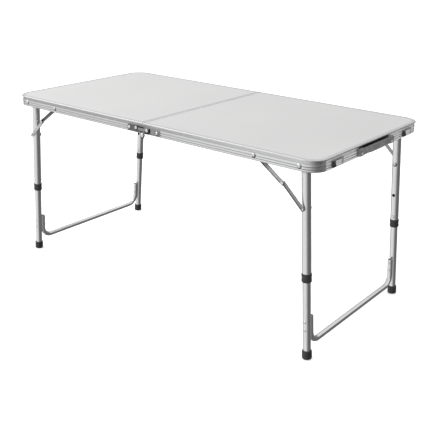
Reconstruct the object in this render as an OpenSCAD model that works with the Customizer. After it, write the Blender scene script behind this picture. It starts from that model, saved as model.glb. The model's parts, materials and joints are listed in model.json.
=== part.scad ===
// Folding picnic table: two leaves hinged at a middle seam, over two leg sets that fold into them.
// Frame: origin on the floor under the middle of the table, +X along its length, +Z up.
// "Front" is the -Y side and "rear" the +Y side; "left" is the -X leaf and "right" the +X leaf.

/* [Table top] */
// Length of the open table
table_l = 1200; // [1100:10:1440]
// Width of the table over its edge lips
table_w = 600; // [500:10:720]
// Height of the top above the floor
table_h = 580; // [560:5:640]
// Outer radius of the four corners
corner_r = 50; // [35:1:60]
// Gap between the two leaves
seam_gap = 2; // [1.5:0.5:3]
// Thickness of the board
panel_t = 3.2; // [2.6:0.1:3.9]

/* [Edge rail] */
// Height of the rail
rail_h = 33; // [32:1:40]
// Wall of the rail
rail_t = 1.6; // [1.2:0.1:2]
// How far the top lip stands out past the rail's web
lip_out = 3.5; // [3:0.1:4]
// Height of the rounded lip
lip_h = 4.6; // [4:0.1:5.5]
// Depth of the rail's lip and flanges, inwards from the web
lip_in = 7; // [6:0.5:8]
// Thickness of the lip where it covers the board
lip_t = 1; // [0.8:0.1:1.2]
// How far the lower bands stand out from the web
band_out = 1.5; // [1:0.1:1.8]
// Height of the banded part of the web
band_h = 20; // [18:1:21]
// Width of the metal trim on each side of the seam
seam_trim = 9; // [7:0.5:12]

/* [Legs] */
// Distance of a leg's pivot from the end of the table
leg_inset = 57; // [50:1:65]
// Distance of a leg's centre line from the side of the table
leg_side = 38; // [36:1:40]
// Depth of the leg pivots below the top
pivot_drop = 19; // [18.8:0.1:20]
// Outward lean of the legs
leg_splay = 4.2; // [0:0.1:6]
// Outer diameter of the upper leg tube
upper_d = 25; // [22:0.5:25.5]
// Outer diameter of the lower leg tube
lower_d = 22; // [19:0.5:22]
// Wall of both leg tubes
tube_t = 1.25; // [1:0.05:1.3]
// Height of the collar's lower edge above the floor
collar_z = 231; // [210:1:250]
// Length of the collar
collar_l = 25; // [20:1:30]
// Distance between the two height settings
hole_pitch = 72; // [50:1:80]
// Diameter of the foot
foot_d = 28; // [26:0.5:28]
// Length of the foot
foot_l = 26; // [20:1:32]

/* [Crossbar] */
// Outer diameter of the crossbar tube
bar_d = 16; // [12:0.5:18]
// Height of the crossbar above the floor
bar_z = 40; // [36:1:60]
// Bend radius of the crossbar at its centre line
bar_bend = 36; // [28:1:45]
// Height of the crossbar's ends above the floor
bar_top_z = 124; // [115:1:130]
// Distance between the two rivets in each end
bar_rivet_pitch = 24; // [18:1:28]

/* [Braces] */
// Distance between a brace's rail rivet and the leg pivot
brace_reach = 141; // [125:1:160]
// Distance along the leg from its pivot to the brace rivet
brace_drop = 122; // [105:1:122]
// Extra length that carries the brace past its straight line
brace_over = 0.5; // [0.2:0.1:2]
// Width of the upper brace link
link_w = 11; // [9:0.5:12]
// Width of the lower brace link
lower_link_w = 9.5; // [8:0.5:11]
// Depth of a brace link's channel
link_d = 4.8; // [4:0.1:5]
// Sheet thickness of a brace link
link_t = 1.3; // [1:0.1:1.6]

/* [Centre hinge] */
// Thickness of the hinge plates and hooks
plate_t = 2; // [1.5:0.1:2.2]
// Length of the left hinge plate from the seam
left_plate_l = 61; // [55:1:80]
// Length of the right hinge plate from the seam
right_plate_l = 68; // [60:1:82]
// Height of the hinge plates
plate_h = 19; // [18:0.5:20]
// Radius of the knuckle around the hinge pin
knuckle_r = 7.5; // [7:0.1:8]
// Radius of the hinge pin
hinge_pin_r = 4; // [3:0.1:4.2]
// Distance of the hook's pivot from the seam
hook_pivot_x = 25; // [20:1:32]
// Distance of the hook's stud from the seam
hook_stud_x = 19; // [15:1:23]

/* [Latches and handle] */
// Distance of each end latch from the table's centre line
latch_y = 203; // [150:1:215]
// Width of a latch
latch_w = 62; // [50:1:75]
// Distance between the middles of the handle brackets
handle_span = 174; // [140:1:240]
// Length of a handle bracket
bracket_l = 22; // [18:1:26]
// Gap between the handle grip and the rail
handle_gap = 4; // [3.5:0.5:8]

/* [Fits] */
// Radial clearance of a pin in its hole
pin_fit = 0.05; // [0.03:0.01:0.1]
// Gap between neighbouring pieces that move
slip = 0.3; // [0.2:0.05:0.4]
// Radial gap between sliding tubes
tube_slip = 0.2; // [0.1:0.05:0.25]

/* [Hidden] */
$fn = 64;
half_l = table_l / 2;
half_w = table_w / 2;
rail_z = table_h - rail_h;
web_out = half_w - lip_out;
web_in = web_out - rail_t;
band_face = web_out + band_out;
lip_edge = web_out - lip_in;
end_web = half_l - lip_out;
end_face = end_web + band_out;
ledge_t = 1.4;
panel_z = table_h - lip_t - panel_t;
board_fit = 0.2;

leg_x = half_l - leg_inset;
leg_y = half_w - leg_side;
pivot_z = table_h - pivot_drop;
leg_l = pivot_z / cos(leg_splay);
along = 1 / cos(leg_splay);
upper_r = upper_d / 2;
lower_r = lower_d / 2;
upper_end = (pivot_z - collar_z) * along;
collar_lip = 3;
collar_r = upper_r + 1.3;
button_drop = upper_end - collar_l - 10;
spare_drop = button_drop - hole_pitch;
lower_top = button_drop - 26;
foot_floor = 5;
pivot_pin_r = 4;
rivet_r = 3;
link_rivet_r = 2.5;
link_head_r = 3.2;

bar_r = bar_d / 2;
bar_y = leg_y - lower_r - bar_r - board_fit;
bar_run = (pivot_z - bar_z) * along;
bar_top = (pivot_z - bar_top_z) * along;
bar_rivet = bar_top + 11;
bar_rivet_r = 2.5;

button_r = 4.2;
button_hole_r = 5;
button_out = 2.5;

link_y = web_in - lip_in + rail_t - slip - 0.7;
lower_link_y = link_y - link_d - slip;
brace_x = leg_x - brace_reach;
leaf_knee = [leg_x + brace_drop * sin(leg_splay), pivot_z - brace_drop * cos(leg_splay)];
brace_open = norm([leaf_knee[0] - brace_x, leaf_knee[1] - pivot_z]) + brace_over;
brace_shut = brace_reach - brace_drop;
upper_link_l = (brace_open + brace_shut) / 2;
lower_link_l = (brace_open - brace_shut) / 2;
brace_chord = brace_open - brace_over;
brace_a = (pow(upper_link_l, 2) - pow(lower_link_l, 2) + pow(brace_chord, 2)) / (2 * brace_chord);
brace_b = sqrt(pow(upper_link_l, 2) - pow(brace_a, 2));
chord_angle = atan2(leaf_knee[1] - pivot_z, leaf_knee[0] - brace_x);
upper_link_angle = chord_angle + atan2(brace_b, brace_a);
brace_joint = [
    brace_x + upper_link_l * cos(upper_link_angle),
    pivot_z + upper_link_l * sin(upper_link_angle)
];
lower_link_angle = atan2(brace_joint[1] - leaf_knee[1], brace_joint[0] - leaf_knee[0]);

hinge_z = rail_z - 4;
plate_z = rail_z + 1.5;
plate_y = band_face;
hook_y = plate_y + plate_t + slip + 0.1;
hook_pivot_z = plate_z + 13.5;
stud_z = plate_z + 11.5;
stud_r = 3;
stud_room = 2.2;

handle_z = rail_z + 15;
handle_t = 7;
handle_pin_x = end_face + handle_gap + handle_t / 2;
handle_l = handle_span - bracket_l - 2 * slip;

latch_pin_x = end_face + 5;
latch_pin_z = rail_z + 9;
latch_pin_r = 1.6;
latch_ear_r = 3.6;
ear_t = 3;
latch_base_t = 1.5;
latch_block_w = 12;
latch_tab_w = 14;
latch_lever_y0 = latch_block_w + ear_t + 2 * slip - latch_w / 2;
latch_lever_w = latch_w / 2 - latch_tab_w - ear_t - slip - latch_lever_y0;

// ---- helpers ----

// Everything is drawn for the right, front quarter; side = [sx, sy] mirrors it to another.
module quarter(side) {
    mirror([side[0] < 0 ? 1 : 0, 0, 0])
        mirror([0, side[1] > 0 ? 1 : 0, 0])
            children();
}
module pair_y(sx) {
    for (sy = [-1, 1])
        quarter([sx, sy]) children();
}
RIGHT = 1;
LEFT = -1;
FRONT = -1;
REAR = 1;

// A cylinder along Y at (x, z), from y0 outwards (towards -Y) to y1
module pin_y(x, z, y0, y1, r) {
    translate([x, -y0, z]) rotate([90, 0, 0]) cylinder(r = r, h = y1 - y0);
}
// A domed rivet head standing on the plane y = -y0, away from the table's middle
module head_out(x, z, y0, r, h) {
    translate([x, -y0, z]) rotate([90, 0, 0]) cylinder(r1 = r, r2 = r * 0.55, h = h);
}
// The same, facing the table's middle
module head_in(x, z, y0, r, h) {
    translate([x, -y0, z]) rotate([-90, 0, 0]) cylinder(r1 = r, r2 = r * 0.55, h = h);
}
// A bar with round ends from [0, 0] to [l, 0]
module stadium(l, w) {
    translate([0, -w / 2]) square([l, w]);
    circle(d = w);
    translate([l, 0]) circle(d = w);
}
module round_rect(l, w, r) {
    translate([r, 0]) square([l - 2 * r, w]);
    translate([0, r]) square([l, w - 2 * r]);
    for (x = [r, l - r], y = [r, w - r])
        translate([x, y]) circle(r = r);
}
// Leg coordinates: origin at the leg's pivot, -Z down the leaning leg
module leg_frame() {
    translate([leg_x, -leg_y, pivot_z]) rotate([0, -leg_splay, 0]) children();
}
// A hole or shaft through the leg, across its width, at distance d down the leg
module leg_cross(d, r, y0, y1) {
    translate([0, -y0, -d]) rotate([90, 0, 0]) cylinder(r = r, h = y1 - y0);
}

// ---- table top ----

module rail_profile() {
    groove = 0.8;
    union() {
        difference() {
            polygon([
                [-lip_in, 0], [band_out, 0], [band_out, band_h], [0, band_h + 0.6],
                [0, rail_h - lip_h / 2], [0, rail_h], [-lip_in, rail_h],
                [-lip_in, rail_h - lip_t], [-rail_t, rail_h - lip_t],
                [-rail_t, rail_h - lip_t - panel_t], [-lip_in, rail_h - lip_t - panel_t],
                [-lip_in, rail_h - lip_t - panel_t - ledge_t],
                [-rail_t, rail_h - lip_t - panel_t - ledge_t], [-rail_t, rail_t],
                [-lip_in, rail_t]
            ]);
            for (z = [band_h / 3, 2 * band_h / 3])
                translate([band_out, z]) rotate(45) square(groove * 1.4, center = true);
        }
        translate([-0.5, rail_h - lip_h]) square([lip_out + 0.5 - lip_h / 2, lip_h]);
        translate([lip_out - lip_h / 2, rail_h - lip_h / 2]) circle(d = lip_h);
    }
}
module rail_run(l) {
    rotate([90, 0, 90]) linear_extrude(l) rail_profile();
}
module rail_bore(x, z, r) {
    pin_y(x, z, web_in - 1, band_face + 1, r);
}
module edge_rail(sx) {
    color([0.78, 0.79, 0.8]) mirror([sx < 0 ? 1 : 0, 0, 0]) difference() {
        translate([0, 0, rail_z]) union() {
            for (m = [0, 1])
                mirror([0, m, 0]) {
                    translate([seam_gap / 2, web_out, 0]) rail_run(half_l - corner_r - seam_gap / 2);
                    translate([half_l - corner_r, half_w - corner_r, 0])
                        rotate_extrude(angle = 90)
                            translate([corner_r - lip_out, 0]) rail_profile();
                }
            translate([end_web, half_w - corner_r, 0]) rotate([90, 0, 0])
                linear_extrude(table_w - 2 * corner_r) rail_profile();
        }
        for (m = [0, 1])
            mirror([0, m, 0]) {
                rail_bore(leg_x, pivot_z, pivot_pin_r + pin_fit);
                rail_bore(brace_x, pivot_z, link_rivet_r + pin_fit);
                if (sx > 0) {
                    rail_bore(hook_stud_x, stud_z, stud_r + pin_fit);
                    rail_bore(right_plate_l - 11, plate_z + plate_h / 2, rivet_r + pin_fit);
                } else {
                    rail_bore(left_plate_l - 6, plate_z + plate_h / 2, rivet_r + pin_fit);
                    rail_bore(hook_pivot_x, hook_pivot_z, rivet_r + pin_fit);
                }
            }
    }
}
module seam_rail(sx) {
    color([0.8, 0.81, 0.82]) mirror([sx < 0 ? 1 : 0, 0, 0])
        translate([seam_gap / 2, lip_edge, rail_z]) rotate([90, 0, 0])
            linear_extrude(2 * lip_edge) difference() {
                square([seam_trim, rail_h]);
                translate([rail_t, rail_t])
                    square([seam_trim, rail_h - lip_t - panel_t - ledge_t - rail_t]);
                translate([rail_t, rail_h - lip_t - panel_t]) square([seam_trim, panel_t]);
            }
}
// Board outline, inset from the rails' webs: a plain edge at the seam, round corners at the end
module leaf_outline(seam_in, side_in) {
    x0 = seam_gap / 2 + seam_in;
    x1 = end_web - side_in;
    y1 = web_out - side_in;
    r = corner_r - lip_out - side_in;
    translate([x0, -y1]) square([x1 - r - x0, 2 * y1]);
    translate([x0, r - y1]) square([x1 - x0, 2 * (y1 - r)]);
    for (y = [r - y1, y1 - r])
        translate([x1 - r, y]) circle(r = r);
}
module panel(sx) {
    color([0.93, 0.93, 0.92]) mirror([sx < 0 ? 1 : 0, 0, 0]) {
        translate([0, 0, panel_z]) linear_extrude(panel_t)
            leaf_outline(rail_t + board_fit, rail_t + board_fit);
        translate([0, 0, panel_z]) linear_extrude(panel_t + lip_t)
            leaf_outline(seam_trim + board_fit, lip_in + board_fit);
    }
}
module left_panel() { panel(LEFT); }
module right_panel() { panel(RIGHT); }
module left_edge_rail() { edge_rail(LEFT); }
module right_edge_rail() { edge_rail(RIGHT); }
module left_seam_rail() { seam_rail(LEFT); }
module right_seam_rail() { seam_rail(RIGHT); }

// ---- centre hinge, drawn for the front ----

module sheet_xz(y0, t) {
    translate([0, -y0, 0]) rotate([90, 0, 0]) linear_extrude(t) children();
}
// The left plate lies on the rail and carries the hinge's ear
module left_hinge_plate(sy) {
    color([0.45, 0.46, 0.47]) mirror([0, sy > 0 ? 1 : 0, 0]) difference() {
        union() {
            sheet_xz(plate_y, plate_t)
                translate([-left_plate_l, plate_z]) round_rect(left_plate_l - 3, plate_h, 2);
            sheet_xz(plate_y + slip, plate_t - slip) {
                translate([0, hinge_z]) circle(r = knuckle_r);
                translate([-knuckle_r - 1, hinge_z])
                    square([knuckle_r + 1, plate_z + 2 - hinge_z]);
            }
        }
        pin_y(0, hinge_z, plate_y - 1, plate_y + plate_t + 1, hinge_pin_r + pin_fit);
        pin_y(6 - left_plate_l, plate_z + plate_h / 2, plate_y - 1, plate_y + plate_t + 1,
            rivet_r + pin_fit);
        pin_y(-hook_pivot_x, hook_pivot_z, plate_y - 1, plate_y + plate_t + 1,
            rivet_r + pin_fit);
    }
}
// The right plate lies on the rail, with a tongue in front of the left plate's ear
module right_hinge_plate(sy) {
    edge_x = hook_stud_x + stud_r + 3;
    strap_h = 4.7;
    color([0.45, 0.46, 0.47]) mirror([0, sy > 0 ? 1 : 0, 0]) difference() {
        union() {
            sheet_xz(plate_y, plate_t)
                translate([edge_x, plate_z]) round_rect(right_plate_l - edge_x, plate_h - 1, 2);
            sheet_xz(plate_y + plate_t, plate_t) {
                translate([edge_x, plate_z]) square([7, 5]);
            }
            sheet_xz(plate_y + plate_t + slip, plate_t - slip) {
                translate([0, hinge_z]) circle(r = knuckle_r);
                translate([0, hinge_z]) square([knuckle_r, plate_z + 1 - hinge_z]);
                translate([0, plate_z]) square([edge_x + 7, strap_h]);
            }
        }
        pin_y(0, hinge_z, plate_y - 1, plate_y + 2 * plate_t + 1, hinge_pin_r + pin_fit);
        pin_y(right_plate_l - 11, plate_z + plate_h / 2, plate_y - 1, plate_y + plate_t + 1,
            rivet_r + pin_fit);
    }
}
module front_left_hinge_plate() { left_hinge_plate(FRONT); }
module rear_left_hinge_plate() { left_hinge_plate(REAR); }
module front_right_hinge_plate() { right_hinge_plate(FRONT); }
module rear_right_hinge_plate() { right_hinge_plate(REAR); }

module hinge_pins() {
    color([0.85, 0.85, 0.86]) for (m = [0, 1])
        mirror([0, m, 0]) {
            pin_y(0, hinge_z, plate_y + slip, plate_y + 2 * plate_t + slip, hinge_pin_r);
            head_out(0, hinge_z, plate_y + 2 * plate_t + slip, 6.6, 2.6);
        }
}
module plate_rivet(x, z) {
    pin_y(x, z, web_in - 1, plate_y + plate_t, rivet_r);
    head_out(x, z, plate_y + plate_t, 5, 2);
    head_in(x, z, web_in, 5, 1.5);
}
module left_hinge_rivets() {
    color([0.86, 0.86, 0.87]) for (m = [0, 1])
        mirror([0, m, 0]) {
            plate_rivet(6 - left_plate_l, plate_z + plate_h / 2);
            pin_y(-hook_pivot_x, hook_pivot_z, web_in - 1, hook_y + plate_t + slip, rivet_r);
            head_out(-hook_pivot_x, hook_pivot_z, hook_y + plate_t + slip, 5, 1.8);
            head_in(-hook_pivot_x, hook_pivot_z, web_in, 5, 1.5);
        }
}
module right_hinge_rivets() {
    color([0.86, 0.86, 0.87]) for (m = [0, 1])
        mirror([0, m, 0]) {
            plate_rivet(right_plate_l - 11, plate_z + plate_h / 2);
            pin_y(hook_stud_x, stud_z, web_in - 1, hook_y + plate_t + slip, stud_r);
            head_out(hook_stud_x, stud_z, hook_y + plate_t + slip, 5.2, 1.8);
            head_in(hook_stud_x, stud_z, web_in, 5, 1.5);
        }
}
// A drop-over hook: it swings on the left leaf and its notch sits over the right leaf's stud
module hook(sy) {
    reach = hook_pivot_x + hook_stud_x;
    tip_r = 7.4;
    color([0.62, 0.63, 0.64]) mirror([0, sy > 0 ? 1 : 0, 0])
        difference() {
            sheet_xz(hook_y, plate_t) difference() {
                translate([-hook_pivot_x, hook_pivot_z]) union() {
                    circle(r = 6);
                    polygon([
                        [0, 5.5], [0, -5.5], [reach - 5, stud_z - hook_pivot_z - 4.5],
                        [reach, stud_z - hook_pivot_z + tip_r]
                    ]);
                    translate([reach, stud_z - hook_pivot_z]) circle(r = tip_r);
                }
                // the notch, open below
                translate([hook_stud_x - stud_r - 0.6, stud_z - 20])
                    square([2 * stud_r + 0.6 + stud_room, 20 + stud_r + 0.3]);
                translate([hook_stud_x, stud_z - 21.6]) square([20, 20]);
            }
            pin_y(-hook_pivot_x, hook_pivot_z, hook_y - 1, hook_y + plate_t + 1,
                rivet_r + pin_fit);
        }
}
module front_hook() { hook(FRONT); }
module rear_hook() { hook(REAR); }

// ---- pivots and rivets in the leaves ----

module leg_pivots(sx) {
    color([0.86, 0.86, 0.87]) pair_y(sx) {
        pin_y(leg_x, pivot_z, leg_y - upper_r - slip - 1, band_face, pivot_pin_r);
        head_out(leg_x, pivot_z, band_face, 6.5, 2.4);
        head_in(leg_x, pivot_z, leg_y - upper_r - slip, 6.5, 2);
        pin_y(leg_x, pivot_z, leg_y + upper_r + slip, web_in, 6.5);
    }
}
module brace_rail_rivets(sx) {
    color([0.86, 0.86, 0.87]) pair_y(sx) {
        pin_y(brace_x, pivot_z, link_y - link_d - slip, band_face, link_rivet_r);
        head_out(brace_x, pivot_z, band_face, 5.5, 2.4);
        head_in(brace_x, pivot_z, link_y - link_d - slip, 4.4, 1.8);
        pin_y(brace_x, pivot_z, link_y + slip, web_in, 5);
    }
}
module left_leg_pivots() { leg_pivots(LEFT); }
module right_leg_pivots() { leg_pivots(RIGHT); }
module left_brace_rail_rivets() { brace_rail_rivets(LEFT); }
module right_brace_rail_rivets() { brace_rail_rivets(RIGHT); }

// ---- legs ----

module upper_tube(side) {
    color([0.84, 0.85, 0.86]) quarter(side) leg_frame() difference() {
        translate([0, 0, -upper_end + collar_lip])
            cylinder(r = upper_r, h = upper_end - collar_lip + 14);
        translate([0, 0, -upper_end]) cylinder(r = upper_r - tube_t, h = upper_end + 40);
        // the top end is rounded about the pivot, so that it turns under the board
        difference() {
            translate([-30, -30, 0]) cube([60, 60, 40]);
            translate([0, 30, 0]) rotate([90, 0, 0]) cylinder(r = 12.5, h = 60);
        }
        leg_cross(0, pivot_pin_r + pin_fit, -20, 20);
        leg_cross(brace_drop, link_rivet_r + pin_fit, -20, 20);
        leg_cross(button_drop, button_hole_r, -20, 0);
        leg_cross(spare_drop, button_hole_r, -20, 0);
    }
}
module collars(sx) {
    color([0.1, 0.1, 0.11]) pair_y(sx) leg_frame() difference() {
        translate([0, 0, -upper_end]) union() {
            cylinder(r = collar_r, h = collar_l);
            translate([0, 0, 3]) cylinder(r = collar_r + 0.5, h = 4);
            translate([0, 0, collar_l - 7]) cylinder(r = collar_r + 0.5, h = 4);
        }
        translate([0, 0, -upper_end + collar_lip])
            cylinder(r = upper_r + pin_fit, h = collar_l);
        translate([0, 0, -upper_end - 1]) cylinder(r = lower_r + tube_slip, h = collar_l);
    }
}
module brace_leg_rivets(sx) {
    color([0.86, 0.86, 0.87]) pair_y(sx) leg_frame() {
        // local y of the link's channel floor, measured outwards from the leg's centre
        floor_y = lower_link_y - leg_y - link_d + link_t;
        leg_cross(brace_drop, link_rivet_r, -upper_r, floor_y + slip);
        translate([0, upper_r, -brace_drop]) rotate([-90, 0, 0])
            cylinder(r1 = 5, r2 = 3, h = 2);
        translate([0, -floor_y - slip, -brace_drop]) rotate([90, 0, 0])
            cylinder(r1 = link_head_r, r2 = link_head_r - 0.8, h = 1.4);
    }
}
module lower_tube(side) {
    end = leg_l - foot_floor;
    color([0.84, 0.85, 0.86]) quarter(side) leg_frame() difference() {
        translate([0, 0, -end]) cylinder(r = lower_r, h = end - lower_top);
        translate([0, 0, -end - 1]) cylinder(r = lower_r - tube_t, h = end);
        leg_cross(button_drop, button_r + slip, -20, 0);
        for (n = [0, 1])
            leg_cross(bar_rivet + n * bar_rivet_pitch, bar_rivet_r + pin_fit, -20, 20);
    }
}
module feet(sx) {
    color([0.09, 0.09, 0.1]) pair_y(sx) difference() {
        leg_frame() difference() {
            translate([0, 0, -leg_l]) union() {
                translate([0, 0, 3]) cylinder(r = foot_d / 2, h = foot_l - 4);
                translate([0, 0, foot_l - 1])
                    cylinder(r1 = foot_d / 2, r2 = foot_d / 2 - 1, h = 1);
                translate([0, 0, -3]) cylinder(r1 = foot_d / 2 - 3, r2 = foot_d / 2, h = 6);
            }
            translate([0, 0, -leg_l + foot_floor])
                cylinder(r = lower_r + pin_fit, h = foot_l);
        }
        translate([leg_x, -leg_y - 40, -20]) cube([80 + leg_l * sin(leg_splay), 80, 20]);
    }
}
module crossbar_path(r, ends) {
    translate([0, -bar_y + leg_y, -bar_run + bar_bend])
        cylinder(r = r, h = bar_run - bar_bend - bar_top + ends);
    translate([0, -bar_y + leg_y + bar_bend, -bar_run + bar_bend]) rotate([0, -90, 0])
        rotate([0, 0, 180]) rotate_extrude(angle = 90) translate([bar_bend, 0]) circle(r = r);
    translate([0, leg_y, -bar_run]) rotate([90, 0, 0])
        cylinder(r = r, h = bar_y - bar_bend);
}
module crossbar(sx) {
    color([0.84, 0.85, 0.86]) mirror([sx < 0 ? 1 : 0, 0, 0]) difference() {
        for (m = [0, 1])
            mirror([0, m, 0]) leg_frame() crossbar_path(bar_r, 0);
        for (m = [0, 1])
            mirror([0, m, 0]) leg_frame() {
                crossbar_path(bar_r - tube_t, 1);
                for (n = [0, 1])
                    leg_cross(bar_rivet + n * bar_rivet_pitch, bar_rivet_r + pin_fit,
                        bar_y - leg_y - 20, 0);
            }
    }
}
module crossbar_rivets(sx) {
    inner = leg_y - bar_y + bar_r;
    color([0.86, 0.86, 0.87]) pair_y(sx) leg_frame()
        for (n = [0, 1]) {
            d = bar_rivet + n * bar_rivet_pitch;
            leg_cross(d, bar_rivet_r, -inner, lower_r);
            translate([0, inner, -d]) rotate([-90, 0, 0])
                cylinder(r1 = 4.5, r2 = 2.6, h = 1.8);
            translate([0, -lower_r, -d]) rotate([90, 0, 0])
                cylinder(r1 = 4.5, r2 = 2.6, h = 1.8);
        }
}
module snap_springs(sx) {
    // a bent leaf spring inside the lower tube, behind the button's flange
    strip = 0.6;
    wide = 7;
    color([0.6, 0.61, 0.62]) pair_y(sx) leg_frame()
        translate([-wide / 2, 0, -button_drop]) rotate([90, 0, 90]) linear_extrude(wide) {
            translate([5.4, -7]) square([strip, 22]);
            translate([-8.4, -7]) square([strip, 22]);
            translate([-8.4, 15]) square([14.4, strip]);
        }
}
module button(side) {
    flange = 6.2;
    tip = upper_r + button_out;
    color([0.88, 0.88, 0.89]) quarter(side) leg_frame()
        translate([0, flange, -button_drop]) rotate([-90, 0, 0]) {
            cylinder(r = 5.6, h = 1.2);
            cylinder(r = button_r, h = tip - 1.4 - flange);
            translate([0, 0, tip - 1.4 - flange]) cylinder(r1 = button_r, r2 = 2.6, h = 1.4);
        }
}
module left_front_upper_tube() { upper_tube([LEFT, FRONT]); }
module left_rear_upper_tube() { upper_tube([LEFT, REAR]); }
module right_front_upper_tube() { upper_tube([RIGHT, FRONT]); }
module right_rear_upper_tube() { upper_tube([RIGHT, REAR]); }
module left_collars() { collars(LEFT); }
module right_collars() { collars(RIGHT); }
module left_brace_leg_rivets() { brace_leg_rivets(LEFT); }
module right_brace_leg_rivets() { brace_leg_rivets(RIGHT); }
module left_front_lower_tube() { lower_tube([LEFT, FRONT]); }
module left_rear_lower_tube() { lower_tube([LEFT, REAR]); }
module right_front_lower_tube() { lower_tube([RIGHT, FRONT]); }
module right_rear_lower_tube() { lower_tube([RIGHT, REAR]); }
module left_feet() { feet(LEFT); }
module right_feet() { feet(RIGHT); }
module left_crossbar() { crossbar(LEFT); }
module right_crossbar() { crossbar(RIGHT); }
module left_crossbar_rivets() { crossbar_rivets(LEFT); }
module right_crossbar_rivets() { crossbar_rivets(RIGHT); }
module left_snap_springs() { snap_springs(LEFT); }
module right_snap_springs() { snap_springs(RIGHT); }
module left_front_button() { button([LEFT, FRONT]); }
module left_rear_button() { button([LEFT, REAR]); }
module right_front_button() { button([RIGHT, FRONT]); }
module right_rear_button() { button([RIGHT, REAR]); }

// ---- folding braces ----

// A pressed channel from [0, 0] to [l, 0], its floor at the bottom and rivet holes in it
module channel(l, w, holes) {
    difference() {
        linear_extrude(link_d) stadium(l, w);
        translate([0, 0, link_t]) linear_extrude(link_d) stadium(l, w - 2 * link_t);
        for (x = holes)
            translate([x, 0, -1]) cylinder(r = link_rivet_r + pin_fit, h = link_d + 2);
    }
}
// Places a channel in the XZ plane, with its floor y0 out from the table's middle
module in_layer(at, angle, y0) {
    translate([at[0], -y0, at[1]]) rotate([90, 0, 0]) rotate([0, 0, angle]) children();
}
module upper_brace(side) {
    color([0.72, 0.73, 0.74]) quarter(side)
        in_layer([brace_x, pivot_z], upper_link_angle, link_y - link_d)
            channel(upper_link_l, link_w, [0, upper_link_l]);
}
module lower_brace(side) {
    color([0.76, 0.77, 0.78]) quarter(side)
        in_layer(leaf_knee, lower_link_angle, lower_link_y - link_d)
            channel(lower_link_l, lower_link_w, [0]);
}
// The middle rivet stays in the upper link's layer: the brace is opened at this pivot
module brace_joint_rivets(sx) {
    color([0.86, 0.86, 0.87]) pair_y(sx) {
        pin_y(brace_joint[0], brace_joint[1], link_y - link_d, link_y, link_rivet_r);
        head_out(brace_joint[0], brace_joint[1], link_y, 4.6, 0.6);
    }
}
module left_front_upper_brace() { upper_brace([LEFT, FRONT]); }
module left_rear_upper_brace() { upper_brace([LEFT, REAR]); }
module right_front_upper_brace() { upper_brace([RIGHT, FRONT]); }
module right_rear_upper_brace() { upper_brace([RIGHT, REAR]); }
module left_front_lower_brace() { lower_brace([LEFT, FRONT]); }
module left_rear_lower_brace() { lower_brace([LEFT, REAR]); }
module right_front_lower_brace() { lower_brace([RIGHT, FRONT]); }
module right_rear_lower_brace() { lower_brace([RIGHT, REAR]); }
module left_brace_joint_rivets() { brace_joint_rivets(LEFT); }
module right_brace_joint_rivets() { brace_joint_rivets(RIGHT); }

// ---- end fittings ----

module latch_bases() {
    color([0.8, 0.8, 0.81]) for (y = [-latch_y, latch_y])
        translate([0, y, 0]) difference() {
            union() {
                translate([end_face, -latch_w / 2, rail_z + 4.5])
                    cube([latch_base_t, latch_w, 17]);
                for (e = [latch_lever_y0 - slip - ear_t, latch_lever_y0 + latch_lever_w + slip])
                    translate([0, e + ear_t, 0]) rotate([90, 0, 0]) linear_extrude(ear_t) {
                        translate([latch_pin_x, latch_pin_z]) circle(r = latch_ear_r);
                        polygon([
                            [end_face, latch_pin_z - latch_ear_r],
                            [latch_pin_x, latch_pin_z - latch_ear_r],
                            [latch_pin_x + latch_ear_r, latch_pin_z],
                            [end_face, latch_pin_z + 8]
                        ]);
                    }
                translate([end_face, latch_w / 2 - latch_tab_w / 2, rail_z + 13])
                    rotate([0, 90, 0]) cylinder(r = 3.6, h = latch_base_t + 1.4);
            }
            translate([latch_pin_x, -latch_w, latch_pin_z]) rotate([-90, 0, 0])
                cylinder(r = latch_pin_r + pin_fit, h = 2 * latch_w);
        }
}
module latch_blocks() {
    // moulded buffer beside each lever, with a thumb step on top
    color([0.09, 0.09, 0.1]) for (y = [-latch_y, latch_y])
        translate([end_face + latch_base_t, y - latch_w / 2 + 1, rail_z + 5.5]) {
            cube([5.5, latch_block_w - 1, 15]);
            cube([7.5, latch_block_w - 1, 9]);
        }
}
module latch_lever(sy) {
    w = latch_lever_w;
    color([0.9, 0.9, 0.9]) translate([0, sy * latch_y + latch_lever_y0, 0]) {
        translate([latch_pin_x, -ear_t + 0.2, latch_pin_z]) rotate([-90, 0, 0])
            cylinder(r = latch_pin_r, h = w + 2 * ear_t - 0.4);
        translate([latch_pin_x, 0, latch_pin_z]) rotate([-90, 0, 0])
            cylinder(r = 2.6, h = w);
        translate([latch_pin_x - 1, 0, latch_pin_z]) cube([2.2, w, 11.5]);
        translate([latch_pin_x - 1, 0, latch_pin_z + 10]) cube([4.4, w, 1.5]);
    }
}
module front_latch_lever() { latch_lever(FRONT); }
module rear_latch_lever() { latch_lever(REAR); }
module latch_keepers() {
    color([0.8, 0.8, 0.81]) for (y = [-latch_y, latch_y])
        translate([-end_face, y, rail_z]) {
            translate([-1.5, -15, 2]) cube([1.5, 30, 14]);
            translate([-5, -9, 2]) cube([3.6, 18, 1.6]);
            translate([-5, -9, 2]) cube([1.4, 18, 5]);
        }
}
module handle_brackets() {
    color([0.16, 0.165, 0.17]) for (s = [-1, 1])
        translate([0, s * handle_span / 2 - bracket_l / 2, 0]) difference() {
            union() {
                translate([end_face, 0, handle_z - 10]) cube([handle_pin_x - end_face, bracket_l, 20]);
                translate([handle_pin_x, 0, handle_z + 5]) rotate([-90, 0, 0])
                    cylinder(r = 5, h = bracket_l);
                translate([handle_pin_x, 0, handle_z - 10]) cube([5, bracket_l, 15]);
            }
            // socket for the grip's pin, open towards the grip
            translate([handle_pin_x, s > 0 ? -1 : bracket_l - 9, handle_z + 5]) rotate([-90, 0, 0])
                cylinder(r = 3 + pin_fit, h = 10);
        }
}
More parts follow.
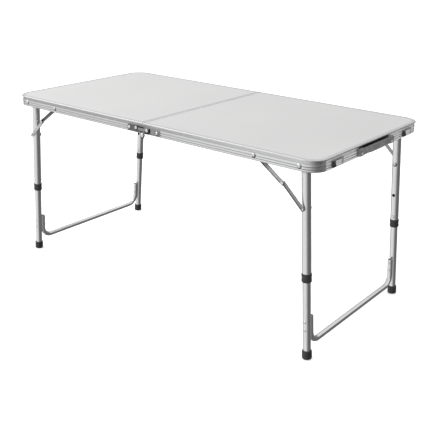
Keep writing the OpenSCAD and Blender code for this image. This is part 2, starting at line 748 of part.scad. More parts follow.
module handle_grip() {
    pin_l = 8;
    color([0.2, 0.205, 0.21]) {
        translate([handle_pin_x, -handle_l / 2 - pin_l, handle_z + 5]) rotate([-90, 0, 0])
            cylinder(r = 3, h = handle_l + 2 * pin_l);
        translate([handle_pin_x, handle_l / 2, handle_z]) rotate([90, 0, 0])
            linear_extrude(handle_l) {
                translate([0, 5]) circle(d = handle_t);
                translate([-handle_t / 2, -7]) square([handle_t, 12]);
                translate([0, -7]) circle(d = handle_t);
            }
    }
}

left_panel();
left_edge_rail();
left_seam_rail();
front_left_hinge_plate();
rear_left_hinge_plate();
hinge_pins();
left_hinge_rivets();
left_leg_pivots();
left_brace_rail_rivets();
latch_keepers();
right_panel();
right_edge_rail();
right_seam_rail();
front_right_hinge_plate();
rear_right_hinge_plate();
right_hinge_rivets();
right_leg_pivots();
right_brace_rail_rivets();
latch_bases();
latch_blocks();
handle_brackets();
front_hook();
rear_hook();
front_latch_lever();
rear_latch_lever();
handle_grip();
left_front_upper_tube();
left_rear_upper_tube();
left_collars();
left_brace_leg_rivets();
right_front_upper_tube();
right_rear_upper_tube();
right_collars();
right_brace_leg_rivets();
left_front_lower_tube();
left_rear_lower_tube();
left_crossbar();
left_crossbar_rivets();
left_feet();
left_snap_springs();
right_front_lower_tube();
right_rear_lower_tube();
right_crossbar();
right_crossbar_rivets();
right_feet();
right_snap_springs();
left_front_button();
left_rear_button();
right_front_button();
right_rear_button();
left_front_upper_brace();
left_rear_upper_brace();
right_front_upper_brace();
right_rear_upper_brace();
left_brace_joint_rivets();
right_brace_joint_rivets();
left_front_lower_brace();
left_rear_lower_brace();
right_front_lower_brace();
right_rear_lower_brace();
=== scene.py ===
"""Folding picnic table: finishes, moulded and turned details, soft studio."""

import json
import math

import bmesh
import bpy
from mathutils import Matrix, Vector


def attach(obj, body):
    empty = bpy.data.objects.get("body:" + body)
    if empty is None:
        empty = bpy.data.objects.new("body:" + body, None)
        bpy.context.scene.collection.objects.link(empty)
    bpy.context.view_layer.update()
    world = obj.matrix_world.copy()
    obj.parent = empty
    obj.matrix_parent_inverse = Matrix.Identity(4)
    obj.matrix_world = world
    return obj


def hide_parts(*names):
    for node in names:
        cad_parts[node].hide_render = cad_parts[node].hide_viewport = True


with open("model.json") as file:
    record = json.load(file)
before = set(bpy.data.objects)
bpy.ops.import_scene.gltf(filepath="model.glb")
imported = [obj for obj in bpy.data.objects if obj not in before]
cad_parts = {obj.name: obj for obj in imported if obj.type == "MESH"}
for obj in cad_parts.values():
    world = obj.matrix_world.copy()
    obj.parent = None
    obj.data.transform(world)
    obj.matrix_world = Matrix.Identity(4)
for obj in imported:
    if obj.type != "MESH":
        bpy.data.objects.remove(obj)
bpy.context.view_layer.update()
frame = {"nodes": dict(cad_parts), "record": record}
nodes = frame["nodes"]
body_of_node = {
    node: body
    for body, members in frame["record"]["behaviour"]["bodies"].items()
    for node in members
}
SIDES = (("left", -1), ("right", 1))
DEPTHS = (("front", -1), ("rear", 1))
MM = 0.001


# ---- finishes ----


class Wire:
    """A socket in a node tree. Arithmetic on wires adds Math nodes."""

    def __init__(self, tree, socket):
        self.tree, self.socket = tree, socket

    def math(self, operation, *others):
        node = self.tree.nodes.new("ShaderNodeMath")
        node.operation = operation
        for slot, value in zip(node.inputs, (self, *others)):
            feed(self.tree, slot, value)
        return Wire(self.tree, node.outputs[0])

    def __add__(self, other):
        return self.math("ADD", other)

    def __sub__(self, other):
        return self.math("SUBTRACT", other)

    def __rsub__(self, other):
        return self * -1 + other

    def __mul__(self, other):
        return self.math("MULTIPLY", other)

    def __truediv__(self, other):
        return self.math("DIVIDE", other)

    def __pow__(self, other):
        return self.math("POWER", other)

    __radd__, __rmul__ = __add__, __mul__


def feed(tree, slot, value):
    """Links a wire to a socket, or sets the socket's own value."""
    if isinstance(value, Wire):
        tree.links.new(value.socket, slot)
    else:
        slot.default_value = value


class Tree:
    """Adds nodes to one node tree and hands back wires."""

    def __init__(self, tree):
        self.tree = tree
        tree.nodes.clear()

    def node(self, kind, settings=(), sockets=(), out=0):
        made = self.tree.nodes.new("ShaderNode" + kind)
        for name, value in dict(settings).items():
            setattr(made, name, value)
        for name, value in dict(sockets).items():
            feed(self.tree, made.inputs[name], value)
        return Wire(self.tree, made.outputs[out])

    def place(self, stretch=(1, 1, 1)):
        where = self.node("TexCoord", out="Object")
        return self.node("Mapping", sockets={"Vector": where, "Scale": stretch})

    def noise(self, scale, detail, stretch=(1, 1, 1)):
        return self.node(
            "TexNoise",
            sockets={"Vector": self.place(stretch), "Scale": scale, "Detail": detail},
        )

    def between(self, value, low, high, start=0.0, end=1.0):
        """value taken smoothly from start at low to end at high"""
        return self.node(
            "MapRange",
            {"interpolation_type": "SMOOTHSTEP"},
            {
                "Value": value,
                "From Min": low,
                "From Max": high,
                "To Min": start,
                "To Max": end,
            },
        )

    def mix(self, share, first, second):
        return self.node(
            "Mix", {"data_type": "RGBA"}, {0: share, 6: first, 7: second}, out=2
        )

    def parts(self, vector):
        split = self.tree.nodes.new("ShaderNodeSeparateXYZ")
        feed(self.tree, split.inputs[0], vector)
        return [Wire(self.tree, o) for o in split.outputs]


def grey(value, warm=0.0):
    return (value * (1 + warm), value, value * (1 - warm), 1)


def finish(tree, colour, roughness, metallic=0.0, relief=None, depth=0.0, **more):
    """Closes a material: colour, roughness and relief are wires or values, depth is in metres."""
    surface = tree.node(
        "BsdfPrincipled",
        sockets={
            "Base Color": colour,
            "Roughness": roughness,
            "Metallic": metallic,
            **{key.replace("_", " ").title(): value for key, value in more.items()},
        },
    )
    shader = tree.tree.nodes[-1]
    if relief is not None:
        bump = tree.node(
            "Bump", sockets={"Height": relief, "Distance": depth, "Strength": 1.0}
        )
        feed(tree.tree, shader.inputs["Normal"], bump)
    out = tree.tree.nodes.new("ShaderNodeOutputMaterial")
    tree.tree.links.new(surface.socket, out.inputs["Surface"])


def material(name):
    made = bpy.data.materials.new(name)
    made.use_nodes = True
    return made, Tree(made.node_tree)


# depth of the relief in metres, from moulded grain to plating
GRAIN_DEPTH, PEEL_DEPTH, LINE_DEPTH, FILM_DEPTH = 0.00006, 0.00004, 0.00003, 0.00002
LEG_RUN, LONG_RUN, CROSS_RUN = (900, 900, 7), (5, 1300, 1300), (1300, 5, 1300)


def laminate():
    """Pale board face: fine mottle and specks"""
    made, t = material("laminate")
    mottle = t.noise(420, 5)
    speck = t.noise(1500, 2)
    cloud = t.noise(3.0, 2)
    shade = mottle * 0.5 + speck * 0.25 + cloud * 0.25
    colour = t.mix(t.between(shade, 0.36, 0.64), grey(0.595, 0.002), grey(0.65, 0.004))
    finish(t, colour, t.between(mottle, 0.3, 0.7, 0.42, 0.52), relief=shade, depth=GRAIN_DEPTH)
    return made


# where the shaded places of the metals start and end, in metres in the shared frame
SEAM_JOINT = (-0.0086, -0.0080)
LEG_SHADE = (0.532, 0.546)
BAND_JOINTS = (0.5477, 0.5537, 0.5603)
RECESS_LOW, RECESS_HIGH = (0.5664, 0.5676), (0.5748, 0.5758)
LIP = (0.5752, 0.5762)
FAR_SIDE, LEFT_END = (0.2908, 0.2928), (-0.5928, -0.5908)
GRIP_HALF, GRIP_END = (0.084, 0.09), (0.59, 0.592)
MIDDLE = (-0.1, 0.1)
LINK_SHADE = (0.526, 0.545)
CHANNEL_FLOOR = 0.2851


def drawn_metal(name, dark, bright, rough, stretch, top=0.0, joint=False, metal=1.0):
    """Aluminium with fine lines along its run; top shades a leg under the rail, joint the seam"""
    made, t = material(name)
    lines = t.noise(1.0, 4, stretch)
    wear = t.noise(26, 4)
    tone = lines * 0.7 + wear * 0.3
    colour = t.mix(t.between(tone, 0.35, 0.65), grey(dark, -0.004), grey(bright, -0.004))
    if joint:
        x = t.parts(t.place())[0]
        colour = t.mix(t.between(x, *SEAM_JOINT, 1.0, 0.0), colour, grey(0.06))
    if top:
        height = t.parts(t.place())[2]
        colour = t.mix(t.between(height, *LEG_SHADE) * top, colour, grey(0.12))
    roughness = t.between(tone, 0.3, 0.7, rough - 0.04, rough + 0.06)
    finish(t, colour, roughness, metal, lines, LINE_DEPTH)
    return made


def rolled_rail():
    """Drawn rail: painted highlight on the lip, painted shade in the recess under it, on the far lip,
    behind the grip and along the lines where the bands meet, and painted light on the ends and to the
    right
    """
    made, t = material("rail_aluminium")
    x, y, z = t.parts(t.place())
    facing = t.parts(t.node("TexCoord", out="Normal"))[0].math("ABSOLUTE")
    share = t.between(facing, 0.5, 0.85)
    bend = t.between(facing, 0.02, 0.3) * t.between(facing, 0.985, 0.999, 1.0, 0.0)
    lines = t.noise(1.0, 4, LONG_RUN) * (1 - share) + t.noise(1.0, 4, CROSS_RUN) * share
    tone = lines * 0.7 + t.noise(26, 4) * 0.3
    colour = t.mix(t.between(tone, 0.35, 0.65), grey(0.48, -0.004), grey(0.56, -0.004))
    # painted light: the rail is painted paler towards the right
    colour = t.mix(t.between(x, -0.1, 0.5) * 0.5, colour, grey(0.78, -0.004))
    # painted shade along the lines where the bands meet
    groove_shade = 0.0
    for height in BAND_JOINTS:
        groove_shade = t.between((z - height).math("ABSOLUTE"), 0.0006, 0.0022, 1.0, 0.0) + groove_shade
    recess = t.between(z, *RECESS_LOW) * t.between(z, *RECESS_HIGH, 1.0, 0.0)
    lip = t.between(z, *LIP)
    # painted shade in the grooves and in the recess under the lip, the recess less so to the right
    rail_shade = (groove_shade * 0.8 + recess * t.between(x, -0.1, 0.45, 0.66, 0.35)).math("MINIMUM", 1.0)
    colour = t.mix(rail_shade, colour, grey(0.26))
    # painted light: faces turned towards the ends of the table are painted paler
    colour = t.mix(t.between(facing, 0.9, 0.98) * 0.6, colour, grey(0.9))
    # painted highlight: the lip is given one pale tone
    colour = t.mix(lip, colour, grey(0.58))
    # painted shade on the lip along the far side and at the left end
    far_lip_shade = t.between(y, *FAR_SIDE) + t.between(x, *LEFT_END, 1.0, 0.0)
    colour = t.mix(far_lip_shade.math("MINIMUM", 1.0) * lip, colour, grey(0.34))
    # painted shadow on the rail behind the grip, below the lip
    shadow_behind_grip = t.between(y.math("ABSOLUTE"), *GRIP_HALF, 1.0, 0.0) * t.between(x, *GRIP_END)
    colour = t.mix(shadow_behind_grip * (1 - lip), colour, grey(0.03))
    bare = (bend * 0.6 + 0.38).math("MINIMUM", 0.95)
    roughness = t.between(tone, 0.3, 0.7, 0.33, 0.43) - bend * 0.14
    finish(t, colour, roughness, bare, lines, LINE_DEPTH)
    return made


def moulded(name, tone, rough, grain=1600):
    """Moulded plastic: fine pits and a faint haze"""
    made, t = material(name)
    pits = t.noise(grain, 2)
    haze = t.noise(60, 4)
    colour = t.mix(t.between(haze, 0.3, 0.7), grey(tone * 0.85), grey(tone * 1.2))
    finish(t, colour, t.between(haze, 0.3, 0.7, rough - 0.06, rough + 0.06), 0.0, pits, GRAIN_DEPTH)
    return made


# painted shadow over the hook and round its stud, in metres; the stud itself in mm
HOOK_SHADOW_Z, HOOK_SHADOW_LEFT, HOOK_SHADOW_RIGHT = (0.5638, 0.5646), (-0.036, -0.032), (0.008, 0.011)
STUD_SHADOW_RING = (0.0125, 0.0135)
STUD = (19, 560)


def coated(name, tone, rough, shade=None):
    """Grey coated steel: slight orange peel and rubbed patches; shade picks a painted shadow, above
    the hook or round its stud
    """
    made, t = material(name)
    peel = t.noise(900, 2)
    rubbed = t.between(t.noise(150, 6), 0.56, 0.74)
    colour = t.mix(rubbed, grey(tone, -0.01), grey(tone * 1.5, -0.01))
    x, y, z = t.parts(t.place())
    if shade == "above":
        # painted shadow: a near-black band on the plate above the hook
        shadow_patch = t.between(z, *HOOK_SHADOW_Z) * t.between(x, *HOOK_SHADOW_LEFT)
        shadow_patch = shadow_patch * t.between(x, *HOOK_SHADOW_RIGHT, 1.0, 0.0)
        colour = t.mix(shadow_patch, colour, grey(0.01))
    if shade == "round":
        # painted shadow: a near-black ring round the stud
        away = ((x - STUD[0] * MM) ** 2 + (z - STUD[1] * MM) ** 2) ** 0.5
        colour = t.mix(t.between(away, *STUD_SHADOW_RING, 1.0, 0.0), colour, grey(0.01))
    finish(t, colour, rough - rubbed * 0.08, 0.35, peel, PEEL_DEPTH)
    return made


def plated(name, tone, rough, warm=0.0, metal=1.0):
    """Bright plating or a pressed rivet: faint cloudy tarnish"""
    made, t = material(name)
    cloud = t.noise(240, 5)
    colour = t.mix(t.between(cloud, 0.35, 0.7), grey(tone, warm), grey(tone * 0.82, warm))
    finish(t, colour, t.between(cloud, 0.3, 0.7, rough, rough + 0.12), metal, cloud, FILM_DEPTH)
    return made


def zinced(name, tone, rough, floor=None):
    """Zinc-plated strip: crystal patches under a matt film; painted light on the left leg set unless
    floor is given, painted shade in the channel floor when it is, and painted shadow under the rail
    """
    made, t = material(name)
    crystal = t.node("TexVoronoi", sockets={"Vector": t.place(), "Scale": 340}, out="Color")
    flake = t.parts(crystal)[0]
    film = t.noise(70, 4)
    shade = flake * 0.45 + film * 0.55
    colour = t.mix(t.between(shade, 0.25, 0.75), grey(tone * 0.82, -0.01), grey(tone * 1.1, -0.01))
    x, y, height = t.parts(t.place())
    if floor is None:
        # painted light: the links of the left leg set are painted paler than those of the right
        colour = t.mix(t.between(x, *MIDDLE, 0.8, 0.0), colour, grey(0.8))
    else:
        # painted shade in the bottom of the channel, weaker on the right leg set
        channel_shade = t.between(y.math("ABSOLUTE"), floor + 0.0003, floor + 0.0016, 1.0, 0.0)
        colour = t.mix(channel_shade * t.between(x, *MIDDLE, 0.85, 0.1), colour, grey(0.05))
    # painted shadow at the top of the links, under the rail, stronger on the right leg set
    shade_under_rail = t.between(height, *LINK_SHADE) * t.between(x, *MIDDLE, 0.2, 0.8)
    colour = t.mix(shade_under_rail, colour, grey(0.05))
    finish(t, colour, t.between(shade, 0.2, 0.8, rough - 0.06, rough + 0.08), 1.0, film, FILM_DEPTH)
    return made


LEAN = math.radians(4.2)
FINISHES = {
    "laminate": laminate(),
    "rail_aluminium": rolled_rail(),
    "seam_trim": drawn_metal("seam_trim", 0.62, 0.7, 0.34, CROSS_RUN, joint=True, metal=0.2),
    "plate_steel": coated("plate_steel", 0.1, 0.42, "above"),
    "hook_steel": coated("hook_steel", 0.22, 0.38, "above"),
    "rivet": plated("rivet", 0.74, 0.26),
    "nickel": plated("nickel", 0.84, 0.2, 0.01, 0.45),
    "spring_steel": plated("spring_steel", 0.5, 0.3),
    "button_chrome": plated("button_chrome", 0.84, 0.16),
    "handle_plastic": moulded("handle_plastic", 0.15, 0.5),
    "tube_aluminium": drawn_metal("tube_aluminium", 0.72, 0.79, 0.2, LEG_RUN, top=0.75),
    "black_plastic": moulded("black_plastic", 0.016, 0.42, 1300),
    "brace_steel": zinced("brace_steel", 0.36, 0.3),
}
BAR_FINISH = drawn_metal("crossbar_aluminium", 0.72, 0.79, 0.2, (900, 7, 900))
PALE_PLATE = coated("pale_plate", 0.22, 0.4, "round")
# near-black finish for the painted shadow discs under the rivet heads
RIVET_SHADOW = moulded("painted_rivet_shadow", 0.02, 0.6)
DULL_NICKEL = plated("dull_nickel", 0.36, 0.3, 0.01, 0.45)
UPPER_LINK = zinced("upper_link", 0.52, 0.32, CHANNEL_FLOOR)

for part in frame["record"]["subparts"]:
    mesh = nodes[part["node"]].data
    mesh.materials.clear()
    mesh.materials.append(
        BAR_FINISH if part["node"].endswith("crossbar") else FINISHES[part["material_slot"]]
    )


# ---- modelling ----


def deselect():
    """Back to object mode with nothing selected"""
    if bpy.context.object and bpy.context.object.mode != "OBJECT":
        bpy.ops.object.mode_set(mode="OBJECT")
    bpy.ops.object.select_all(action="DESELECT")


def choose(piece, test):
    """In edit mode, selects the faces that pass the test."""
    bpy.ops.mesh.select_mode(type="FACE")
    bpy.ops.mesh.select_all(action="DESELECT")
    mesh = bmesh.from_edit_mesh(piece.data)
    for face in mesh.faces:
        if test(face):
            face.select_set(True)
    bmesh.update_edit_mesh(piece.data)


BEVEL_ANGLE, SMOOTH_ANGLE, FLAT_ANGLE = 38, 35, 0.6


def close_up(piece, name, slot, angle=SMOOTH_ANGLE, bevel=None, steps=2):
    """Names a finished piece, rounds its edges and gives it its finish."""
    if piece.mode != "OBJECT":
        bpy.ops.object.mode_set(mode="OBJECT")
    deselect()
    piece.select_set(True)
    bpy.context.view_layer.objects.active = piece
    if bevel:
        edge = piece.modifiers.new("edge", "BEVEL")
        edge.width, edge.segments, edge.limit_method = bevel, steps, "ANGLE"
        edge.angle_limit = math.radians(BEVEL_ANGLE)
        bpy.ops.object.modifier_apply(modifier="edge")
    bpy.ops.object.shade_smooth_by_angle(angle=math.radians(angle))
    piece.name = piece.data.name = name
    piece.data.materials.clear()
    piece.data.materials.append(FINISHES[slot])
    deselect()
    return piece


def spun(name, outline, slot, steps):
    """A turned or moulded round piece: a closed outline of (radius, height) in mm, about Z."""
    deselect()
    bpy.ops.mesh.primitive_circle_add(vertices=len(outline), radius=0.01)
    piece = bpy.context.object
    bpy.ops.object.mode_set(mode="EDIT")
    mesh = bmesh.from_edit_mesh(piece.data)
    mesh.verts.ensure_lookup_table()
    for vert, (radius, height) in zip(mesh.verts, outline):
        vert.co = (radius * MM, 0, height * MM)
    bmesh.update_edit_mesh(piece.data)
    bpy.ops.mesh.select_all(action="SELECT")
    bpy.ops.mesh.spin(steps=steps, angle=2 * math.pi, center=(0, 0, 0), axis=(0, 0, 1))
    bpy.ops.mesh.select_all(action="SELECT")
    bpy.ops.mesh.remove_doubles(threshold=1e-6)
    bpy.ops.mesh.dissolve_degenerate(threshold=1e-7)
    bpy.ops.mesh.delete_loose(use_verts=True, use_edges=True, use_faces=False)
    bpy.ops.mesh.select_all(action="SELECT")
    bpy.ops.mesh.normals_make_consistent(inside=False)
    return close_up(piece, name, slot)


def another(piece, name):
    """A copy with its own mesh"""
    made = piece.copy()
    made.data = piece.data.copy()
    bpy.context.scene.collection.objects.link(made)
    made.name = made.data.name = name
    return made


def joined(pieces, name):
    """Pieces made into one mesh under one name"""
    deselect()
    for piece in pieces:
        piece.select_set(True)
    bpy.context.view_layer.objects.active = pieces[0]
    if len(pieces) > 1:
        bpy.ops.object.join()
    made = bpy.context.object
    made.name = made.data.name = name
    deselect()
    return made


def dressed(node, bevel):
    """A pressed part as the frame has it, with its edges broken"""
    source = nodes[node]
    piece = bpy.data.objects.new(node + "_dressed", source.data.copy())
    bpy.context.scene.collection.objects.link(piece)
    deselect()
    piece.select_set(True)
    bpy.context.view_layer.objects.active = piece
    bpy.ops.object.mode_set(mode="EDIT")
    bpy.ops.mesh.select_all(action="SELECT")
    bpy.ops.mesh.remove_doubles(threshold=2e-6)
    bpy.ops.mesh.dissolve_limited(angle_limit=math.radians(FLAT_ANGLE))
    bpy.ops.object.mode_set(mode="OBJECT")
    slot = next(p["material_slot"] for p in frame["record"]["subparts"] if p["node"] == node)
    close_up(piece, node + "_dressed", slot, bevel=bevel * MM)
    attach(piece, body_of_node[node])
    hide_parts(node)
    return piece


def along(point, direction):
    """The matrix that takes +Z at the origin to that direction at that point, in mm"""
    turn = Vector(direction).to_track_quat("Z", "Y").to_matrix().to_4x4()
    return Matrix.Translation(Vector(point) * MM) @ turn


# where things are, in mm in the shared frame
PIVOT_X, PIVOT_Z, LEG_Y = 543.0, 561.0, 262.0
BRACE_X, RAIL_FACE = 402, 298
LINK_JOINT, LEG_JOINT = (488.7, 499.5), (551.9, 439.3)
COLLAR_Z, BUTTON_DROP = 231, 35


def leg_matrix(side, depth, down):
    """The leg's own line: +Z points up the leg, the origin is down mm below its pivot."""
    lean = Matrix.Rotation(-side * LEAN, 4, "Y")
    pivot = Matrix.Translation(Vector((side * PIVOT_X, depth * LEG_Y, PIVOT_Z)) * MM)
    return pivot @ lean @ Matrix.Translation((0, 0, -down * MM))


LEG_LENGTH = PIVOT_Z / math.cos(LEAN)
COLLAR_BASE = (PIVOT_Z - COLLAR_Z) / math.cos(LEAN)


def collars():
    """Moulded collars over the ends of the upper tubes"""
    outline = [
        (11.25, 0.0), (12.4, 0.0), (13.2, 0.5), (13.6, 1.4), (13.7, 2.6), (14.2, 3.1),
        (14.2, 6.4), (13.7, 7.0), (13.6, 16.6), (13.9, 17.6), (14.2, 18.2), (14.2, 22.6),
        (14.0, 24.2), (13.4, 25.0), (12.6, 25.0), (12.56, 24.6), (12.56, 3.0), (11.25, 3.0),
    ]
    first = spun("collar", outline, "black_plastic", 48)
    for side_name, side in SIDES:
        made = []
        for depth_name, depth in DEPTHS:
            copy = another(first, f"{side_name}_{depth_name}_collar")
            copy.data.transform(leg_matrix(side, depth, COLLAR_BASE))
            made.append(copy)
        ring = joined(made, f"{side_name}_collars_moulded")
        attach(ring, f"{side_name}_leg_set")
        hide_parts(f"{side_name}_collars")
    bpy.data.objects.remove(first)


def feet():
    """Ribbed caps on the feet"""
    outline = [
        (0.0, 0.0), (9.0, 0.0), (11.6, 0.3), (13.0, 1.2), (13.8, 2.6), (14.0, 4.4),
        (14.0, 9.0), (13.5, 9.5), (13.5, 10.4), (14.0, 10.9), (14.0, 14.0), (13.5, 14.5),
        (13.5, 15.4), (14.0, 15.9), (13.9, 22.5), (13.6, 24.6), (12.8, 25.8), (11.6, 26.0),
        (11.06, 25.7), (11.06, 5.0), (0.0, 5.0),
    ]
    first = spun("foot", outline, "black_plastic", 48)
    for side_name, side in SIDES:
        made = []
        for depth_name, depth in DEPTHS:
            copy = another(first, f"{side_name}_{depth_name}_foot")
            copy.data.transform(leg_matrix(side, depth, LEG_LENGTH))
            # the sole is ground flat to the floor
            deselect()
            copy.select_set(True)
            bpy.context.view_layer.objects.active = copy
            bpy.ops.object.mode_set(mode="EDIT")
            bpy.ops.mesh.select_all(action="SELECT")
            bpy.ops.mesh.bisect(
                plane_co=(0, 0, 0.00002), plane_no=(0, 0, 1), clear_inner=True, use_fill=True
            )
            bpy.ops.object.mode_set(mode="OBJECT")
            made.append(copy)
        pair = joined(made, f"{side_name}_feet_moulded")
        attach(pair, f"{side_name}_lower_frame")
        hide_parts(f"{side_name}_feet")
    bpy.data.objects.remove(first)


def dome(name, radius, height, slot="rivet"):
    """A domed rivet head standing on the plane z = 0"""
    skirt = 0.5
    rim = [(0.0, 0.0), (radius * 0.94, 0.0), (radius, skirt * 0.5), (radius * 0.985, skirt)]
    arc = [
        (radius * 0.97 * math.cos(a), skirt + (height - skirt) * math.sin(a))
        for a in (math.radians(d) for d in (12, 28, 44, 60, 76))
    ]
    return spun(name, rim + arc + [(0.0, height)], slot, 24)


# x, y, z, radius and height of the heads on the hinge plates
PLATE_HEADS = {
    "left": ((-55, 300, 558, 4.4, 1.9), (-25, 302.7, 562, 5.2, 1.9), (0, 302.3, 543, 6.7, 2.7)),
    "right": ((57, 300, 558, 4.4, 1.9), (STUD[0], 302.7, STUD[1], 5.3, 1.9)),
}
# painted shadow under the rivet heads: how far the dark discs are shifted aside and down, in mm, and
# how thick they are
RIVET_SHADOW_SHIFT, RIVET_SHADOW_THICK = (1.5, 0, -1.3), 0.25


def heads():
    """Domed heads over the plain ones, proud by no more than the frame's own"""
    spots = {}

    def add(body, node, point, direction, radius, height):
        spots.setdefault((body, node), []).append((point, direction, radius, height))

    for side_name, side in SIDES:
        leaf = f"{side_name}_leaf"
        for _, depth in DEPTHS:
            out = (0, depth, 0)
            add(leaf, "leg_pivots", (side * PIVOT_X, depth * RAIL_FACE, PIVOT_Z), out, 4.9, 2.6)
            add(leaf, "brace_rivets", (side * BRACE_X, depth * RAIL_FACE, PIVOT_Z), out, 4.7, 2.5)
            for x, y, z, radius, height in PLATE_HEADS[side_name]:
                add(leaf, "plate_rivets", (x, depth * y, z), out, radius, height)
        for _, depth in DEPTHS:
            out, inward = (0, depth, 0), (0, -depth, 0)
            up, leg = f"{side_name}_upper_braces", f"{side_name}_leg_set"
            (link_x, link_z), (leg_x, leg_z) = LINK_JOINT, LEG_JOINT
            add(up, "joint_rivets", (side * link_x, depth * 288.5, link_z), out, 4.5, 0.62)
            add(leg, "outer_joint_rivets", (side * leg_x, depth * 279.95, leg_z), out, 3.3, 3.0)
            add(leg, "inner_rivets", (side * leg_x, depth * 249.5, leg_z), inward, 4.9, 2.0)
    for (body, node), group in spots.items():
        made, rings = [], []
        for number, (point, direction, radius, height) in enumerate(group):
            head = dome(f"{body}_{node}_{number}", radius, height)
            head.data.transform(along(point, direction))
            made.append(head)
            # a near-black disc, wider than the head and shifted down, is painted shadow round each
            # rivet
            rim = radius + (0.5 if "joint" in node else 1.8)
            disc = [(0, 0), (rim, 0), (rim, RIVET_SHADOW_THICK), (0, RIVET_SHADOW_THICK)]
            ring = spun(f"{body}_{node}_ring_{number}", disc, "rivet", 24)
            ring.data.materials[0] = RIVET_SHADOW
            low = Vector(point) + Vector(RIVET_SHADOW_SHIFT)
            ring.data.transform(along(low, direction))
            rings.append(ring)
        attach(joined(made, f"{body}_{node}_heads"), body)
        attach(joined(rings, f"{body}_{node}_grime"), body)


def buttons():
    """Spring buttons: a turned stem with a rounded tip"""
    outline = [(0, 6.2), (5.6, 6.2), (5.6, 7.4), (4.2, 7.5), (4.2, 13.2), (4.0, 13.9),
               (3.4, 14.5), (2.4, 14.85), (1.2, 15.0), (0, 15.0)]
    drop = COLLAR_BASE - BUTTON_DROP
    for side_name, side in SIDES:
        for depth_name, depth in DEPTHS:
            name = f"{side_name}_{depth_name}_button"
            piece = spun(name + "_turned", outline, "button_chrome", 28)
            inward = Matrix.Rotation(math.radians(90 * depth), 4, "X")
            piece.data.transform(leg_matrix(side, depth, drop) @ inward)
            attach(piece, name + "_body")
            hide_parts(name)


GRIP_X, GRIP_SIZE = 605.5, (7, 151.4, 19)
GRIP_CUTS = (-0.44, -0.34, -0.2, 0.2, 0.34, 0.44)
# the lower front of the brackets is pressed back, in metres
BRACKET_FRONT, BRACKET_TOP, BRACKET_PRESS = 0.6085, 0.5645, 0.0014


def handle():
    """The grip: a moulded bar on a rod, with a shallow finger hollow behind, and its brackets"""
    deselect()
    bpy.ops.mesh.primitive_cube_add(size=1, location=(0, 0, 0))
    grip = bpy.context.object
    span = GRIP_SIZE[1] * MM
    grip.data.transform(Matrix.Diagonal((GRIP_SIZE[0] * MM, span, GRIP_SIZE[2] * MM, 1)))
    bpy.ops.object.mode_set(mode="EDIT")
    bpy.ops.mesh.select_all(action="SELECT")
    bpy.ops.mesh.bisect(plane_co=(0, 0, 0), plane_no=(0, 1, 0))
    for share in GRIP_CUTS:
        bpy.ops.mesh.select_all(action="SELECT")
        bpy.ops.mesh.bisect(plane_co=(0, share * span, 0), plane_no=(0, 1, 0))
    choose(grip, lambda f: f.normal.x < -0.9 and abs(f.calc_center_median().y) < 0.3 * span)
    bpy.ops.mesh.inset(thickness=1.6 * MM, depth=-1.2 * MM)
    choose(grip, lambda f: f.normal.z < -0.9 and abs(f.calc_center_median().y) > 0.34 * span)
    bpy.ops.transform.translate(value=(0, 0, 1.6 * MM))
    close_up(grip, "handle_grip_moulded", "handle_plastic", 40, 2.2 * MM, 3)
    grip.data.transform(Matrix.Translation(Vector((GRIP_X, 0, 561)) * MM))
    end, edge = 83.7, 83.3
    outline = [(0, -end), (2.7, -end), (3, -edge), (3, edge), (2.7, end), (0, end)]
    rod = spun("handle_rod", outline, "handle_plastic", 24)
    rod.data.transform(along((GRIP_X, 0, 567), (0, 1, 0)))
    whole = joined([grip, rod], "handle_grip_moulded")
    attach(whole, "handle")
    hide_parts("handle_grip")
    blocks = dressed("handle_brackets", 1.2)
    for vertex in blocks.data.vertices:
        if vertex.co.x > BRACKET_FRONT and vertex.co.z < BRACKET_TOP:
            vertex.co.x -= BRACKET_PRESS
    ends = []
    for number, depth in enumerate((-1, 1)):
        head = dome(f"bracket_rivet_{number}", 3.8, 1.5, "nickel")
        head.data.transform(along((608.9, depth * 87, 559), (1, 0, 0)))
        ends.append(head)
    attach(joined(ends, "handle_bracket_rivets"), "right_leaf")


FLOOR_GLOW = 0.4
CAMERA_ANGLES = (39.22, 20.488, 0.721)  # azimuth, elevation, roll
CAMERA_TARGET, CAMERA_DISTANCE = (-0.003, 0, 0.2369), 2.497
CAMERA_LENS, CAMERA_SENSOR, CAMERA_SHIFT = 60.52, 36, (0.0298, -0.0298)


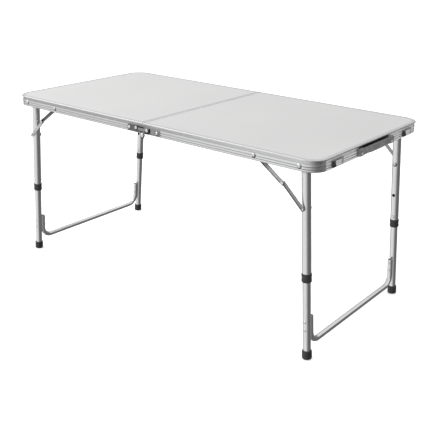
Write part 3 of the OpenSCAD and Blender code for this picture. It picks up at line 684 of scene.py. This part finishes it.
def studio():
    """Pale floor, white surroundings with one dark side, and soft overhead light"""
    world = bpy.data.worlds.new("studio")
    bpy.context.scene.world = world
    world.use_nodes = True
    t = Tree(world.node_tree)
    x, y, z = t.parts(t.node("TexCoord", out="Generated"))
    level = (x * x + y * y + 0.0001) ** 0.5

    def towards(azimuth, inner, outer):
        a = math.radians(azimuth)
        facing = (x * math.sin(a) - y * math.cos(a)) / level
        return t.between(facing, math.cos(math.radians(outer)), math.cos(math.radians(inner)))

    low_down = t.between(z, 0.5, 0.25)
    skyline = t.between(z, 0.5, 0.1)
    dark = towards(112, 28, 112) * low_down
    behind = towards(219, 35, 62) * skyline
    tone = t.mix(behind, grey(0.95), grey(0.25))
    tone = t.mix(dark, tone, grey(0.16))
    seen = t.node("LightPath", out="Is Camera Ray")
    tone = t.mix(seen, tone, grey(1.0))
    glow = t.node("Background", sockets={"Color": tone, "Strength": 1.0})
    out = t.tree.nodes.new("ShaderNodeOutputWorld")
    t.tree.links.new(glow.socket, out.inputs["Surface"])

    deselect()
    bpy.ops.mesh.primitive_plane_add(size=60, location=(0, 0, -0.0004))
    floor = bpy.context.object
    floor.name = "floor"
    paper, f = material("pale_floor")
    haze = f.noise(2.0, 2)
    finish(
        f, f.mix(haze, grey(0.93), grey(0.96)), 0.9,
        emission_color=grey(1.0), emission_strength=FLOOR_GLOW,
    )
    floor.data.materials.append(paper)
    floor.visible_glossy = False

    def lamp(name, place, target, size, power):
        data = bpy.data.lights.new(name, "AREA")
        data.shape, data.size, data.energy = "DISK", size, power
        made = bpy.data.objects.new(name, data)
        bpy.context.scene.collection.objects.link(made)
        made.location = place
        made.rotation_mode = "QUATERNION"
        made.rotation_quaternion = (Vector(target) - Vector(place)).to_track_quat("-Z", "Y")

    lamp("key", (-2.2, -1.2, 3.0), (0, 0, 0.4), 2.6, 54)
    lamp("top", (0.4, 0.6, 3.4), (0, 0, 0.4), 3.0, 2)

    azimuth, elevation, roll = (math.radians(v) for v in CAMERA_ANGLES)
    back = Vector((math.sin(azimuth) * math.cos(elevation),
                   -math.cos(azimuth) * math.cos(elevation), math.sin(elevation)))
    right = (-back).cross(Vector((0, 0, 1))).normalized()
    up = right.cross(-back)
    tilt_right = right * math.cos(roll) + up * math.sin(roll)
    tilt_up = up * math.cos(roll) - right * math.sin(roll)
    data = bpy.data.cameras.new("camera")
    data.lens, data.sensor_width, data.clip_end = CAMERA_LENS, CAMERA_SENSOR, 100
    data.shift_x, data.shift_y = CAMERA_SHIFT
    camera = bpy.data.objects.new("camera", data)
    bpy.context.scene.collection.objects.link(camera)
    turn = Matrix((tilt_right, tilt_up, back)).transposed().to_4x4()
    place = Vector(CAMERA_TARGET) + back * CAMERA_DISTANCE
    camera.matrix_world = Matrix.Translation(place) @ turn
    bpy.context.scene.camera = camera
    bpy.context.scene.view_settings.view_transform = "Standard"


HEAD_FROM, HEAD_SHARE = 0.2993, 0.72

collars()
feet()
heads()
buttons()
handle()
for side_name, side in SIDES:
    # the outer heads are pressed down smaller than the blanks
    for node, at in (("leg_pivots", PIVOT_X), ("brace_rail_rivets", BRACE_X)):
        pins = dressed(f"{side_name}_{node}", 0.25)
        for vertex in pins.data.vertices:
            if abs(vertex.co.y) > HEAD_FROM:
                vertex.co.x = side * at * MM + (vertex.co.x - side * at * MM) * HEAD_SHARE
                vertex.co.z = PIVOT_Z * MM + (vertex.co.z - PIVOT_Z * MM) * HEAD_SHARE
for depth_name, _ in DEPTHS:
    dressed(f"{depth_name}_left_hinge_plate", 0.45)
    dressed(f"{depth_name}_right_hinge_plate", 0.4).data.materials[0] = PALE_PLATE
    dressed(f"{depth_name}_hook", 0.5)
    dressed(f"{depth_name}_latch_lever", 0.4)
    for side_name, _ in SIDES:
        dressed(f"{side_name}_{depth_name}_upper_brace", 0.35).data.materials[0] = UPPER_LINK
        dressed(f"{side_name}_{depth_name}_lower_brace", 0.35)
dressed("latch_bases", 0.3).data.materials[0] = DULL_NICKEL
dressed("latch_blocks", 0.8)
dressed("latch_keepers", 0.3)
studio()
